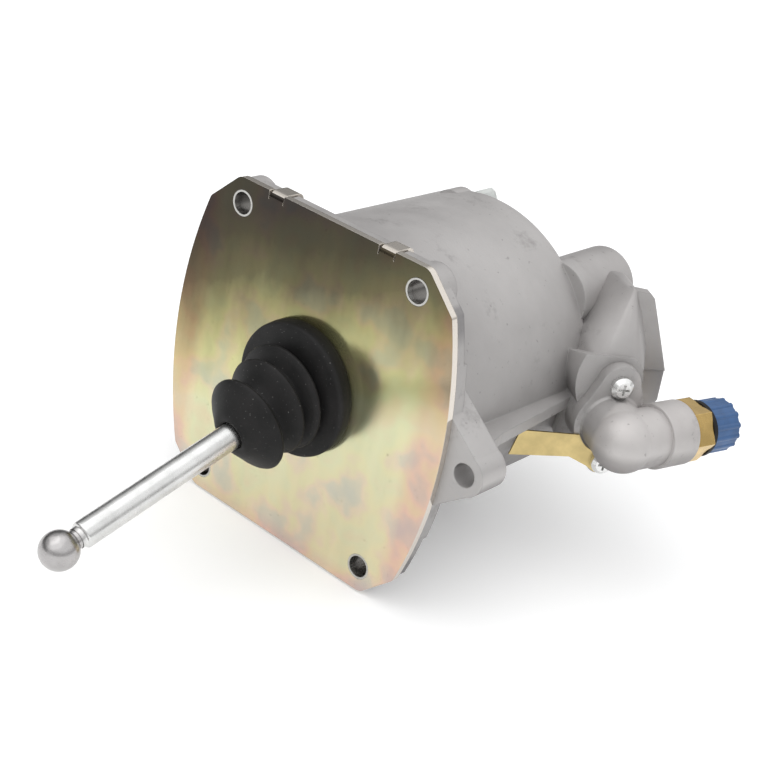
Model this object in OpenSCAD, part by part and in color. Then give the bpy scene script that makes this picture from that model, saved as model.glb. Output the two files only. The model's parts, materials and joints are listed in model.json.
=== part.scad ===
// Air-assisted clutch servo with a drooping push rod.
// The origin is the centre of the four mounting holes, on the front face of
// the mounting plate. The push rod points along -Y, the air cylinder lies
// along +Y, and +Z is up.

/* [Mounting plate] */
// Distance between the mounting holes across the plate
hole_pitch_x = 86; // [84:1:88]
// Distance between the mounting holes up the plate
hole_pitch_z = 114; // [112:1:116]
// Thickness of the sheet metal plate
plate_t = 3; // [2.5:0.1:4]
// Distance from the mounting holes to the plate's top and bottom edges
plate_edge = 9.8; // [9:0.1:12]
// How far the straight top edge reaches past the mounting holes
plate_top_run = 3; // [1:0.5:5]
// How far the corner chamfer reaches down past the mounting holes
plate_chamfer_drop = 3; // [1:0.5:7]
// How far the bowed sides stand out past the cylinder wall
plate_bow = 8.5; // [6:0.5:10]
// Radius of the plate's corners
plate_corner_r = 5; // [3:0.5:6]
// Radius of the opening that the push rod passes through
plate_hole_r = 23; // [22.6:0.1:24]
// Width of each bent tab
tab_w = 6.8; // [6:0.2:9]
// Distance of the tabs from the middle of the plate
tab_x = 27; // [24:0.5:30]
// Width of the relief notch around each tab
tab_notch = 0.5; // [0.4:0.1:1]
// How far a tab hooks down behind the housing flange
tab_hook = 4; // [3:0.5:5]

/* [Locating sleeves] */
// Bore radius of the steel sleeves, for M8 bolts
sleeve_bore_r = 4.25; // [4.2:0.05:4.5]
// Wall of the steel sleeves
sleeve_wall = 0.8; // [0.7:0.1:1.2]

/* [Cylinder housing] */
// Bore radius of the air cylinder
bore_r = 52; // [50:0.5:52.5]
// Wall of the air cylinder
shell_wall = 7.5; // [7:0.5:9]
// Thickness of the housing flange
flange_t = 5; // [4:0.5:6]
// Depth from the plate's front face to the inside of the rear wall
bore_depth = 96; // [94:1:98]
// Thickness of the rear wall
rear_wall_t = 8; // [7:0.5:10]
// Radius of the rear rim's bevel
rim_bevel = 1; // [0.5:0.5:2]
// Distance of the side lug's bolt beyond the cylinder wall
lug_out = 17.5; // [16.5:0.5:19.5]
// Radius of the bolt hole in the side lug
lug_hole_r = 4.5; // [4:0.25:5]
// Radius of the side lug's nose
lug_nose_r = 8.2; // [8:0.2:10]
// Thickness of the side lug
lug_t = 14; // [12:0.5:16]
// Thickness of the rib between the lug and the port pad
rib_t = 5; // [4:0.5:7]

/* [Air piston] */
// Running gap between the air piston and the bore
piston_gap = 0.3; // [0.2:0.05:0.4]
// Length of the piston skirt
piston_len = 29; // [27:0.5:30]
// Thickness of the piston web
piston_web_t = 6; // [5:0.5:7]
// Thickness of the piston skirt
piston_skirt_t = 9; // [8.5:0.5:10]
// Radius of the hub that holds the push rod and the plunger
hub_r = 14; // [13.5:0.5:15]
// How far the piston travels back into the housing
stroke = 50; // [40:1:51]
// Working clearance of the rubber and plastic rings
ring_fit = 0.06; // [0.03:0.01:0.1]

/* [Push rod] */
// Radius of the push rod
rod_r = 5; // [4.5:0.1:5.2]
// Radius of the ball at the free end
ball_r = 7.1; // [6.9:0.1:8]
// Radius of the ball that swivels in the piston
swivel_r = 8; // [7.8:0.1:8.2]
// Distance between the centres of the two balls
rod_len = 120.4; // [110:0.2:130]
// How far the free end hangs down at rest, in degrees
droop = 16.2; // [8:0.2:16.4]
// Distance of the swivel's centre behind the plate's front face
swivel_y = 6; // [5.5:0.1:6.5]
// Running clearance of shafts, balls and screws
run_fit = 0.05; // [0.02:0.01:0.08]

/* [Rubber boot] */
// Radius of the boot's foot on the plate
boot_foot_r = 26.3; // [26:0.1:28]
// Height of the boot's foot
boot_foot_t = 6; // [5:0.5:7]
// Radii of the three folds, from the plate outwards
boot_fold_r = [20.5, 18.8, 18.4];
// Distances of the three folds from the plate
boot_fold_y = [10.5, 17.5, 26.5];
// Thickness of a fold at its edge
boot_fold_t = 2.2; // [1.8:0.1:2.6]
// Distance from the plate to the mouth of the boot
boot_len = 34; // [32:0.5:36]
// Wall of the boot
boot_wall = 2.6; // [2:0.1:3]

/* [Preload spring] */
// Radius of the spring's wire
spring_wire_r = 2; // [1.5:0.1:2.1]
// Radius of the spring's coil, to the middle of the wire
spring_coil_r = 34; // [30:0.5:36]
// Number of turns
spring_turns = 6.5; // [5:0.5:7]

/* [Hydraulic section] */
// Radius of the hydraulic plunger
plunger_r = 12; // [11:0.5:12.5]
// Radius of the pocket that holds the plunger's seal and bush
gland_r = 16; // [15.5:0.1:16.4]
// Wall around that pocket
gland_wall = 4.5; // [4:0.5:5]
// Radius of the boss behind the rear wall
rear_boss_r = 18; // [17:0.5:20]
// Length of that boss behind the rear wall
rear_boss_len = 56; // [54:1:60]
// Radius of the threaded hydraulic inlet
inlet_r = 5.5; // [5:0.25:6.5]
// Depth of the hydraulic inlet
inlet_depth = 9; // [8:0.5:10]

/* [Bleed screw] */
// Angle of the bleed screw around the cylinder axis, in degrees
bleed_angle = 124; // [110:1:130]
// Distance of the bleed screw behind the rear wall
bleed_back = 35; // [32:0.5:38]
// Radius of the bleed screw's thread
bleed_r = 4; // [3.5:0.1:4.2]
// Distance of the cap's tip from the cylinder axis
bleed_tip = 56; // [54.5:0.5:58]

/* [Control valve] */
// Sideways place of the valve boss
valve_x = 38; // [36:0.5:40]
// Height of the valve boss
valve_z = 32; // [30:0.5:34]
// Radius of the valve boss
valve_boss_r = 14.8; // [14:0.2:15.4]
// Length of the valve boss behind the rear wall
valve_len = 37; // [36:0.5:40]
// Radius of the valve chamber
chamber_r = 9; // [8.5:0.25:9.5]
// Radius of the control piston
control_r = 6; // [5:0.25:6]
// Travel of the control piston
control_travel = 2.5; // [2:0.1:2.5]
// Lift of the poppet for each millimetre of control piston travel
poppet_ratio = 0.6; // [0.5:0.05:0.7]

/* [Port pad and elbow] */
// Distance of the elbow flange's front face beyond the cylinder wall
pad_out = 22.3; // [21.9:0.2:23.5]
// Distance of that face's middle in front of the rear rim
pad_ahead = 11; // [10:0.5:12]
// Height of that face's middle
pad_z = -2.5; // [-4:0.5:-1]
// Angle that the pad faces forwards from +X, in degrees
pad_turn = 37; // [36:0.5:38]
// Angle of the elbow's outlet, outwards from +Y, in degrees
outlet_turn = 15; // [14:0.5:18]
// Radius of the flange's round middle
flange_lobe_r = 15; // [14.5:0.5:15.5]
// Distance of each elbow screw from the middle
elbow_screw_z = 16.5; // [16:0.25:17.5]
// Radius of the flange around the upper screw
ear_top_r = 8.4; // [8:0.2:9]
// Radius of the flange around the lower screw
ear_low_r = 5.8; // [5.6:0.1:6.4]
// Thickness of the elbow flange
elbow_flange_t = 5; // [4.5:0.25:5.5]
// Distance from the flange face to the elbow's corner
elbow_rise = 14; // [13.6:0.2:15]
// Radius of the elbow's neck and corner
neck_r = 12; // [11.5:0.25:12.25]
// Radius of the elbow's outlet boss
outlet_r = 13; // [12.5:0.25:13.2]
// Distance from the elbow's corner to the outlet boss
outlet_start = 15; // [13:0.5:17]
// Distance from the elbow's corner to the end of the outlet boss
outlet_end = 29; // [28:0.5:33]
// Radius of the air passage
passage_r = 5; // [4:0.5:5.5]

/* [Air connector and cap] */
// Width across the flats of the brass connector
hex_af = 22; // [21:0.5:23]
// Length of the hexagon
hex_len = 9.5; // [8:0.5:10]
// Radius of the connector's thread
connector_r = 8; // [7.5:0.1:8.2]
// Radius of the connector's air bore
air_bore_r = 5; // [4:0.25:5.25]
// Radius of the protective cap
cap_r = 10.9; // [10.4:0.1:11.4]
// Length of the protective cap
cap_len = 15.8; // [15:0.2:18]
// Number of grip ribs on the cap
cap_ribs = 14; // [10:1:16]

/* [Exhaust block] */
// Distance of the block's flat face behind the elbow flange's face
slab_front = 24; // [22:0.5:26]
// Thickness of the flat face's plate
slab_t = 4; // [3:0.5:5]
// Thickness of the block behind that plate
block_t = 14; // [13:0.5:15]
// Radius of the exhaust shield
exhaust_r = 9; // [8:0.5:10]

/* [Tag strip] */
// Width of the metal strip under the lower elbow screw
strip_w = 11; // [10:0.5:11.5]
// How far the strip's upper edge lies above the lower screw
strip_rise = 11.6; // [10:0.2:12]
// Thickness of the strip
strip_t = 0.8; // [0.6:0.1:1]

/* [Hidden] */
$fn = 72;

fine = 0.01;
facing_gap = 0.3;
press_fit = 0.02;

flange_y = plate_t + flange_t;
shell_r = bore_r + shell_wall;
rim_y = bore_depth + rear_wall_t;
sleeve_r = sleeve_bore_r + sleeve_wall;
flange_inset = 0.8;
plate_half_z = hole_pitch_z / 2 + plate_edge;
plate_top_x = hole_pitch_x / 2 + plate_top_run;
plate_side_x = shell_r;
plate_side_z = hole_pitch_z / 2 - plate_chamfer_drop;
plate_bow_x = shell_r + plate_bow;
lug_x = shell_r + lug_out;
rear_boss_end = rim_y + rear_boss_len;
bleed_y = rim_y + bleed_back;
valve_end = rim_y + valve_len;
pad_x = shell_r + pad_out;
pad_y = rim_y - pad_ahead;

piston_r = bore_r - piston_gap;
piston_front = plate_t + facing_gap;
piston_rear = piston_front + piston_len;
web_front = piston_front + 2.7;
web_rear = web_front + piston_web_t;
skirt_in_r = piston_r - piston_skirt_t;
seal_y = piston_front + 11;
seal_h = 6;
seal_depth = 5;
guide_y = seal_y + seal_h + 4;
guide_h = 5;
guide_depth = 2;

boot_cone = 4.4;
boot_back = 1.6;

hub_front = swivel_y - 5.5;
retainer_t = 1.5;
retainer_r = hub_r - 2;
hub_rear = swivel_y + 18;
spigot_r = plunger_r - 5;
spigot_len = 7;

gland_front = hub_rear + stroke + 2;
circlip_y = gland_front + 1.5;
circlip_t = 1.5;
plunger_seal_y = circlip_y + circlip_t + 0.4;
plunger_seal_h = 5.5;
bush_y = plunger_seal_y + plunger_seal_h + 0.2;
bush_h = 8.5;
gland_end = bush_y + bush_h + 0.1;
plunger_end = gland_end + 1;
plunger_bore_end = plunger_end + stroke + 2.5;
gland_tube_r = gland_r + gland_wall;

bleed_boss_r = bleed_r + 4;
bleed_boss_end = rear_boss_r + 16;
bleed_hex_end = bleed_boss_end + 5;
bleed_seat = rear_boss_r - 1;
bleed_hex_r = bleed_r * 1.37;
bleed_stem_r = bleed_r * 0.75;
bleed_barb_r = bleed_r * 0.95;
bleed_bore_r = bleed_r * 0.3;
cap_base = bleed_hex_end + facing_gap;
bleeder_cap_r = bleed_r * 1.35;
bleeder_cap_rim_r = bleed_r * 1.5;
bleeder_cap_bore_r = bleed_barb_r + facing_gap;

control_front = rim_y - 5;
control_len = 10;
control_stem_r = 2.5;
control_bore_end = control_front + control_len + control_travel + 3;
seat_y = control_bore_end + 2;
seat_t = 3;
seat_bore_r = 4;
poppet_y = seat_y + seat_t;
poppet_t = 4;
poppet_r = chamber_r - 2.5;
poppet_stem_end = poppet_y + poppet_t + 6;
// At full travel the control stem has just caught up with the poppet.
stem_gap = control_travel * (1 - poppet_ratio) + run_fit;
control_stem_end = poppet_y - stem_gap;
plug_y = poppet_y + poppet_t + 5;
plug_h = 6;
plug_bore_r = control_stem_r + run_fit;
plug_seal_r = 1.2;
valve_clip_y = plug_y + plug_h + 0.1;
valve_clip_t = 1.3;

pad_front = -elbow_flange_t;
pad_back = -30;
corner_z = elbow_rise;
// The outlet leans back past the square by this angle.
outlet_lean = pad_turn - outlet_turn;
elbow_screw_r = 2.5;
elbow_screw_depth = 11;
head_r = 4.6;
collar_r = neck_r + 0.7;
head_h = 3.4;
elbow_seal_r = 8.5;
elbow_seal_wire = 1.3;
connector_start = outlet_start + 4;
hex_start = outlet_end + facing_gap;
hex_end = hex_start + hex_len;
seal_ring_t = 2;
cap_start = hex_end + seal_ring_t + 0.2;
nipple_r = connector_r;
nipple_end = cap_start + cap_len - 4;
cap_wall = 1.6;

slab_back = -slab_front - slab_t;
block_back = slab_back - block_t;
slab_step = 1.2;
slab_step_y = 13.3;
exhaust_at = [15, 9];
exhaust_point = pad_point([exhaust_at[0], exhaust_at[1], block_back + 7]);
working_r = 1.6;
cross_r = 1.5;

// The column runs from the valve boss down to the port pad.
column_r = 8.6;
column_top = pad_point([7, 38, -50]);
column_foot = pad_point([1.6, 19, -14]);
// The supply drilling turns into the column here.
supply_turn = pad_point([2, 14, -9]);
// The pad's top falls away behind its rim.
pad_slope = 20;
pad_rim = 2.6;
pad_slope_y = elbow_screw_z + ear_top_r + pad_rim - 0.5;
pad_round_r = 25;
pad_round_at = [8, 18];
rear_rib_rise = rear_boss_len / 2;
valve_web_t = 10;

strip_top = strip_rise - elbow_screw_z;
strip_low = strip_top - strip_w;
strip_eye_r = ear_low_r - 0.4;
// The strip ends just short of the cylinder wall.
strip_end = -(pad_out - facing_gap) / sin(pad_turn);

// Colours
casting = [0.71, 0.70, 0.69];
yellow_zinc = [0.66, 0.62, 0.42];
bright_zinc = [0.82, 0.83, 0.84];
rubber_black = [0.07, 0.07, 0.07];
steel = [0.74, 0.75, 0.77];
brass = [0.72, 0.56, 0.30];
cap_blue = [0.24, 0.40, 0.66];
plastic_cream = [0.85, 0.82, 0.70];
strip_yellow = [0.80, 0.70, 0.40];

function unit(v) = v / norm(v);

// Place in the whole part of a point that is given in the port pad's own frame
function pad_point(p) = [pad_x + p[0] * sin(pad_turn) + p[2] * cos(pad_turn),
                         pad_y + p[0] * cos(pad_turn) - p[2] * sin(pad_turn),
                         pad_z + p[1]];

// Points of the arc that rounds the corner c between its neighbours p and q
function corner_arc(p, c, q, r, steps = 5) =
    let (u = unit(p - c),
         v = unit(q - c),
         half = acos(u * v) / 2,
         middle = c + unit(u + v) * r / sin(half),
         a = c + u * r / tan(half) - middle,
         b = c + v * r / tan(half) - middle,
         start = atan2(a[1], a[0]),
         turn = atan2(b[1], b[0]) - start,
         sweep = turn > 180 ? turn - 360 : turn < -180 ? turn + 360 : turn)
    [for (i = [0 : steps]) middle + r * [cos(start + sweep * i / steps), sin(start + sweep * i / steps)]];

// Radius and points of the bowed side of the plate, less an inset
function bow_r(sag, half) = (half * half + sag * sag) / (2 * sag);
function bow_points(side_x, bow_x, half, steps) =
    let (r = bow_r(bow_x - side_x, half),
         reach = asin(half / r))
    [for (i = [1 : steps - 1])
        let (a = -reach + 2 * reach * i / steps)
        [bow_x - r + r * cos(a), r * sin(a)]];

// Right half of the outline, from the bottom edge up to the top edge
function outline_right(inset) =
    let (top_z = plate_half_z - inset,
         top_x = plate_top_x - inset / 2,
         side_x = plate_side_x - inset,
         side_z = plate_side_z - inset / 2,
         bow = bow_points(side_x, plate_bow_x - inset, side_z, 22),
         last = len(bow) - 1)
    concat(corner_arc([0, -top_z], [top_x, -top_z], [side_x, -side_z], plate_corner_r),
           corner_arc([top_x, -top_z], [side_x, -side_z], bow[0], plate_corner_r / 2),
           bow,
           corner_arc(bow[last], [side_x, side_z], [top_x, top_z], plate_corner_r / 2),
           corner_arc([side_x, side_z], [top_x, top_z], [0, top_z], plate_corner_r));

function outline(inset) =
    let (right = outline_right(inset),
         count = len(right))
    concat(right, [for (i = [count - 1 : -1 : 0]) [-right[i][0], right[i][1]]]);

// Extrudes a shape drawn in X and Z from one distance behind the plate to another
module along_y(y0, y1) {
    translate([0, y1, 0])
        rotate([90, 0, 0])
            linear_extrude(height = y1 - y0)
                children();
}

module tube_y(r, y0, y1) {
    translate([0, y1, 0])
        rotate([90, 0, 0])
            cylinder(r = r, h = y1 - y0);
}

// Turns a profile of [radius, distance behind the plate] about the Y axis
module turned(profile) {
    rotate([-90, 0, 0])
        rotate_extrude()
            polygon(profile);
}

module ring_y(r_out, r_in, y0, y1) {
    turned([[r_in, y0], [r_out, y0], [r_out, y1], [r_in, y1]]);
}

module at_holes() {
    for (x = [-1, 1])
        for (z = [-1, 1])
            translate([x * hole_pitch_x / 2, 0, z * hole_pitch_z / 2])
                children();
}

// Places the children for each of the two bent tabs on the top edge
module at_tabs() {
    for (x = [-1, 1])
        translate([x * tab_x, 0, 0])
            children();
}

// The push rod's own frame: its axis is -Y, its swivel ball is at the origin
module on_rod() {
    translate([0, swivel_y, 0])
        rotate([droop, 0, 0])
            children();
}

// The bleed screw's own frame: its axis is +Z, from the cylinder axis outwards
module on_bleeder() {
    translate([0, bleed_y, 0])
        rotate([0, 90 - bleed_angle, 0])
            children();
}

module on_valve() {
    translate([valve_x, 0, valve_z])
        children();
}

// The port pad's own frame: +Z points out of the pad, +Y is up
module on_pad() {
    translate([pad_x, pad_y, pad_z])
        rotate([90, 0, 90 - pad_turn])
            children();
}

// The elbow outlet's own frame: its axis is +Z, starting at the elbow's corner
module on_outlet() {
    on_pad()
        translate([0, 0, corner_z])
            rotate([0, 90 + outlet_lean, 0])
                children();
}

// The exhaust's own frame: +Z points out of the back of the exhaust block
module on_exhaust() {
    on_pad()
        translate([exhaust_at[0], exhaust_at[1], block_back])
            rotate([0, 180, 0])
                children();
}

// Outline of the elbow flange and of the pad under it
module flange_shape() {
    low = [0, -elbow_screw_z];
    top = [0, elbow_screw_z];
    circle(r = flange_lobe_r);
    translate(top)
        circle(r = ear_top_r);
    translate(low)
        circle(r = ear_low_r);
    ear_web(elbow_screw_z, ear_top_r);
    mirror([0, 1])
        ear_web(elbow_screw_z, ear_low_r);
}

// Straight flanks between the round middle and an ear, a little inside both
module ear_web(reach, ear_r) {
    lean = asin((flange_lobe_r - ear_r) / reach);
    side = [cos(lean), sin(lean)];
    wide = flange_lobe_r - 0.5;
    slim = ear_r - 0.3;
    polygon([[-4, 1],
             [4, 1],
             wide * side,
             [0, reach] + slim * side,
             [0, reach] + slim * [-side[0], side[1]],
             wide * [-side[0], side[1]]]);
}

module lug_shape() {
    flank = 38;
    side_r = lug_nose_r - 0.3;
    tangent = [lug_x + side_r * sin(flank), side_r * cos(flank)];
    root_x = bore_r + 3;
    root_z = tangent[1] + (tangent[0] - root_x) * tan(flank);
    translate([lug_x, 0])
        circle(r = lug_nose_r);
    polygon([[root_x, -root_z], [tangent[0], -tangent[1]], tangent, [root_x, root_z]]);
}

// Pocket cut into the flange, or the relief cut into the plate, for each tab
module tab_slots(w, depth, y0, y1) {
    at_tabs()
        translate([-w / 2, y0, plate_half_z - depth])
            cube([w, y1 - y0, depth + 3]);
}

module housing_solid() {
    turned([[0, plate_t], [shell_r, plate_t], [shell_r, rim_y - rim_bevel],
            [shell_r - rim_bevel, rim_y], [0, rim_y]]);
    along_y(plate_t, flange_y)
        polygon(outline(flange_inset));
    // The flange is thicker along its bowed sides.
    intersection() {
        along_y(plate_t, flange_y + 1.8)
            polygon(outline(flange_inset));
        translate([0, flange_y, 0])
            cube([150, 30, 2 * 36], center = true);
    }
    along_y(plate_t, plate_t + lug_t)
        lug_shape();
    side_rib();
    at_holes()
        tube_y(sleeve_r + 4, plate_t, flange_y + 3);
    // Cast lump where the metal was poured, on the top of the rim
    rotate([0, -18, 0])
        translate([0, 0, shell_r - 7])
            tube_y(8.2, rim_y - 9, rim_y);
    tube_y(rear_boss_r, rim_y - 1, rear_boss_end);
    rear_ribs();
    tube_y(gland_tube_r, gland_front, bore_depth + 1);
    on_bleeder()
        cylinder(r = bleed_boss_r, h = bleed_boss_end);
    valve_boss();
    port_block();
}

// Low wedge between the side lug and the port pad
module side_rib() {
    translate([0, 0, -rib_t / 2])
        linear_extrude(height = rib_t)
            polygon([[bore_r + 2, plate_t + 2],
                     [lug_x - 4, plate_t + lug_t],
                     [shell_r + 8.5, plate_t + lug_t + 20],
                     [shell_r + 4.5, pad_y],
                     [bore_r + 2, pad_y]]);
}

// Stiffening ribs between the rear wall and the central boss
module rear_ribs() {
    for (angle = [180, 225, 270, 315])
        rotate([0, -angle, 0])
            translate([0, 0, -2.5])
                linear_extrude(height = 5)
                    polygon([[rear_boss_r - 2, rim_y - 1],
                             [shell_r - 6, rim_y - 1],
                             [shell_r - 6, rim_y + 3],
                             [rear_boss_r - 2, rim_y + rear_rib_rise]]);
}

module valve_boss() {
    on_valve()
        turned([[0, rim_y - 2], [valve_boss_r, rim_y - 2], [valve_boss_r, valve_end - 3],
                [valve_boss_r - 3, valve_end], [0, valve_end]]);
    // Web between the valve boss and the central boss
    on_valve()
        rotate([0, -atan2(valve_z, valve_x) - 90, 0])
            translate([-valve_web_t / 2, rim_y - 1, 0])
                cube([valve_web_t, valve_len - 8, norm([valve_x, valve_z])]);
}

module tube_between(a, b, r) {
    d = b - a;
    translate(a)
        rotate([0, acos(d[2] / norm(d)), atan2(d[1], d[0])])
            cylinder(r = r, h = norm(d));
}

// Wider outline of the cast pad, on the side of the cylinder
module pad_border() {
    intersection() {
        translate(pad_round_at)
            circle(r = pad_round_r);
        translate([-20, -9])
            square([21, 40]);
    }
    translate([0, elbow_screw_z])
        circle(r = ear_top_r + pad_rim);
}

// Port pad, the column up to the valve boss, and the exhaust block
module port_block() {
    on_pad()
        difference() {
            translate([0, 0, pad_back])
                linear_extrude(height = pad_front - pad_back) {
                    flange_shape();
                    pad_border();
                }
            translate([-30, pad_slope_y, pad_front])
                rotate([-pad_slope, 0, 0])
                    translate([0, 0, -60])
                        cube([60, 60, 80]);
        }
    tube_between(column_top, column_foot, column_r);
    on_pad()
        difference() {
            translate([0, 0, slab_back])
                linear_extrude(height = slab_t)
                    polygon([[5.9, 47.3], [13.5, 46.5], [15.8, 44.4], [24.9, 23.4], [29.4, 12.8],
                             [30.2, -0.7], [27, -6], [-10, -6], [-10, 14], [9, 20], [13.5, 28]]);
            translate([14, -10, -slab_front - slab_step])
                cube([20, slab_step_y + 10, 5]);
        }
    on_pad()
        translate([0, 0, block_back])
            linear_extrude(height = block_t + fine)
                polygon([[-8, 22], [-2, 32], [8, 40], [14, 40], [19, 33], [24, 20], [28, 8],
                         [28, -2], [24, -6], [-14, -6], [-14, 10]]);
}

// The outlet's clear space, cut from the pad
module outlet_relief() {
    on_outlet() {
        cylinder(r = outlet_r + 1, h = outlet_end + 30);
        sphere(r = neck_r + 1);
    }
    on_pad()
        translate([-20, -30, pad_front])
            cube([40, 56, 30]);
}

module housing_holes() {
    // Gland for the plunger's seal and bush, then the hydraulic chamber
    tube_y(gland_r, gland_front - 1, gland_end);
    tube_y(gland_r + 1.2, circlip_y - 0.1, circlip_y + circlip_t + 0.1);
    tube_y(plunger_r + 0.4, gland_end - 1, plunger_bore_end);
    tube_y(inlet_r, rear_boss_end - inlet_depth, rear_boss_end + 1);
    tube_y(2, plunger_bore_end - 1, rear_boss_end);
    at_holes()
        tube_y(sleeve_r + press_fit, 0, flange_y + 4);
    translate([lug_x, 0, 0])
        tube_y(lug_hole_r, 0, plate_t + lug_t + 1);
    tab_slots(tab_w + 2 * facing_gap, plate_t + facing_gap, 0, flange_y + 3);
    // Flat seats behind the flange for the hooks of the tabs
    tab_slots(tab_w + 2 * facing_gap, plate_t + tab_hook + 1, flange_y, flange_y + 12);
    on_bleeder() {
        cylinder(r = 1.5, h = bleed_boss_end);
        translate([0, 0, bleed_seat])
            cylinder(r = bleed_r, h = bleed_boss_end);
    }
    on_valve() {
        tube_y(control_r + 0.03, control_front, control_bore_end + fine);
        tube_y(chamber_r, control_bore_end, valve_end + 1);
        tube_y(chamber_r + 1, valve_clip_y - 0.1, valve_clip_y + valve_clip_t + 0.1);
    }
    air_passages();
    on_pad() {
        for (z = [-1, 1])
            translate([0, z * elbow_screw_z, pad_front - elbow_screw_depth])
                cylinder(r = elbow_screw_r, h = elbow_screw_depth + 1);
        translate([0, 0, pad_front - elbow_seal_wire * 2 + 0.2])
            difference() {
                cylinder(r = elbow_seal_r + elbow_seal_wire + 0.2, h = 5);
                translate([0, 0, -1])
                    cylinder(r = elbow_seal_r - elbow_seal_wire - 0.2, h = 7);
            }
    }
    on_exhaust()
        exhaust_holes();
}

// Supply air from the pad through the column to the chamber behind the poppet,
// working air from the valve to the cylinder, used air to the exhaust, and the
// cross drilling that brings clutch fluid to the control piston
module air_passages() {
    on_pad()
        translate([0, 0, -14])
            cylinder(r = passage_r, h = 20);
    on_pad()
        translate([2, 0, -10])
            rotate([-90, 0, 0])
                cylinder(r = 3.2, h = 14);
    tube_between(supply_turn, [valve_x + 6, poppet_y + poppet_t + 3, valve_z + 4], 3);
    on_valve()
        translate([-control_r - working_r - 1.2, 0, 0])
            tube_y(working_r, bore_depth - 2, control_bore_end + 1.5);
    tube_between([valve_x + 6, control_bore_end + 1, valve_z - 3], exhaust_point, 2);
    cross_drilling(shell_r + 1);
}

// Drilled from the far side of the rear wall, across the fluid chamber
module cross_drilling(outer) {
    angle = atan2(valve_z, valve_x);
    rotate([0, -angle, 0])
        translate([-outer, control_front + 1.5, 0])
            rotate([0, 90, 0])
                cylinder(r = cross_r, h = outer + norm([valve_x, valve_z]));
}

module exhaust_holes() {
    translate([0, 0, -5])
        cylinder(r = 1.5, h = 6);
    for (i = [0 : 5])
        rotate([0, 0, i * 60])
            translate([4.6, 0, -5])
                cylinder(r = 1.5, h = 6);
    translate([0, 0, -9])
        cylinder(r = 6.2, h = 5);
}

module cylinder_housing() {
    color(casting)
        difference() {
            union() {
                difference() {
                    housing_solid();
                    tube_y(bore_r, plate_t - 1, bore_depth);
                }
                tube_y(gland_tube_r, gland_front, bore_depth + 1);
            }
            housing_holes();
            outlet_relief();
        }
}

// Section of one bent tab: Y along the cylinder, then height
module tab_section() {
    r = plate_t;
    back = flange_y + facing_gap + plate_t;
    top = plate_half_z;
    front_bend = [for (i = [0 : 6]) [r - r * cos(i * 15), top - r + r * sin(i * 15)]];
    rear_bend = [for (i = [0 : 6]) [back - r + r * sin(i * 15), top - r + r * cos(i * 15)]];
    polygon(concat([[0, top - plate_t - 2]],
                   front_bend,
                   rear_bend,
                   [[back, top - plate_t - tab_hook],
                    [back - plate_t, top - plate_t - tab_hook],
                    [back - plate_t, top - plate_t],
                    [plate_t, top - plate_t],
                    [plate_t, top - plate_t - 2]]));
}

module front_plate() {
    color(yellow_zinc) {
        difference() {
            along_y(0, plate_t)
                polygon(outline(0));
            tab_slots(tab_w + 2 * tab_notch, plate_t + tab_notch, -1, plate_t + 1);
            tube_y(plate_hole_r, -1, plate_t + 1);
            at_holes()
                tube_y(sleeve_r + press_fit, -1, plate_t + 1);
        }
        at_tabs()
            translate([-tab_w / 2, 0, 0])
                rotate([90, 0, 90])
                    linear_extrude(height = tab_w)
                        tab_section();
    }
}

module locating_sleeves() {
    color(bright_zinc)
        at_holes()
            ring_y(sleeve_r, sleeve_bore_r, 0, flange_y + 3);
}

// Height of the boot's bent middle line at a distance in front of the plate
function boot_drop(y) = (y + swivel_y) * tan(droop) * min(1, y / boot_fold_y[2]);

// One fold of the boot: steep towards the plate, a long cone in front,
// leaning with the rod
module boot_fold(y, r, lean, core_r) {
    half = boot_fold_t / 2;
    translate([0, -y, -boot_drop(y)])
        rotate([lean, 0, 0])
            turned([[0, -half - boot_cone], [core_r, -half - boot_cone], [r, -half], [r, half],
                    [core_r, half + boot_back], [0, half + boot_back]]);
}

// Straight piece of the boot's hollow between two of its sections
module boot_hollow(y0, y1, r) {
    tube_between([0, -y0, -boot_drop(y0)], [0, -y1, -boot_drop(y1)], r);
}

module rubber_boot() {
    neck = rod_r + boot_wall;
    leans = [droop * 0.3, droop * 0.65, droop];
    color(rubber_black)
        difference() {
            union() {
                turned([[0, -boot_foot_t], [boot_foot_r - 2, -boot_foot_t], [boot_foot_r, -boot_foot_t + 2],
                        [boot_foot_r, 0], [plate_hole_r - 0.3, 0], [plate_hole_r - 0.3, plate_t + 0.3],
                        [plate_hole_r + 1.5, plate_t + 0.3], [plate_hole_r - 1, plate_t + 2.3],
                        [plate_hole_r - 3, plate_t + 2.3], [plate_hole_r - 3, 0], [0, 0]]);
                for (i = [0 : 2])
                    boot_fold(boot_fold_y[i], boot_fold_r[i], leans[i], boot_fold_r[i] - 5);
                boot_hollow(2, boot_fold_y[2], boot_fold_r[2] - 6);
                on_rod()
                    tube_y(neck, -boot_len / cos(droop) - swivel_y, -boot_fold_y[1] - swivel_y);
            }
            turned([[0, -boot_foot_t + 2.5], [plate_hole_r - 5, -boot_foot_t + 2.5],
                    [plate_hole_r - 3, -1], [plate_hole_r - 3, plate_t + 3], [0, plate_t + 3]]);
            boot_hollow(2, boot_fold_y[2], boot_fold_r[2] - 6 - boot_wall);
            on_rod()
                tube_y(rod_r + facing_gap, -boot_len * 1.2 - swivel_y, 0);
        }
}

module push_rod() {
    waist_r = rod_r * 0.72;
    waist = 6.5;
    shoulder = rod_len - ball_r - waist;
    color(bright_zinc)
        on_rod() {
            sphere(r = swivel_r);
            turned([[0, -rod_len], [waist_r, -rod_len], [waist_r, -shoulder - 1.2], [rod_r - 1, -shoulder],
                    [rod_r, -shoulder + 1.2], [rod_r, -3], [0, -3]]);
            translate([0, -rod_len, 0])
                sphere(r = ball_r);
        }
}

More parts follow.
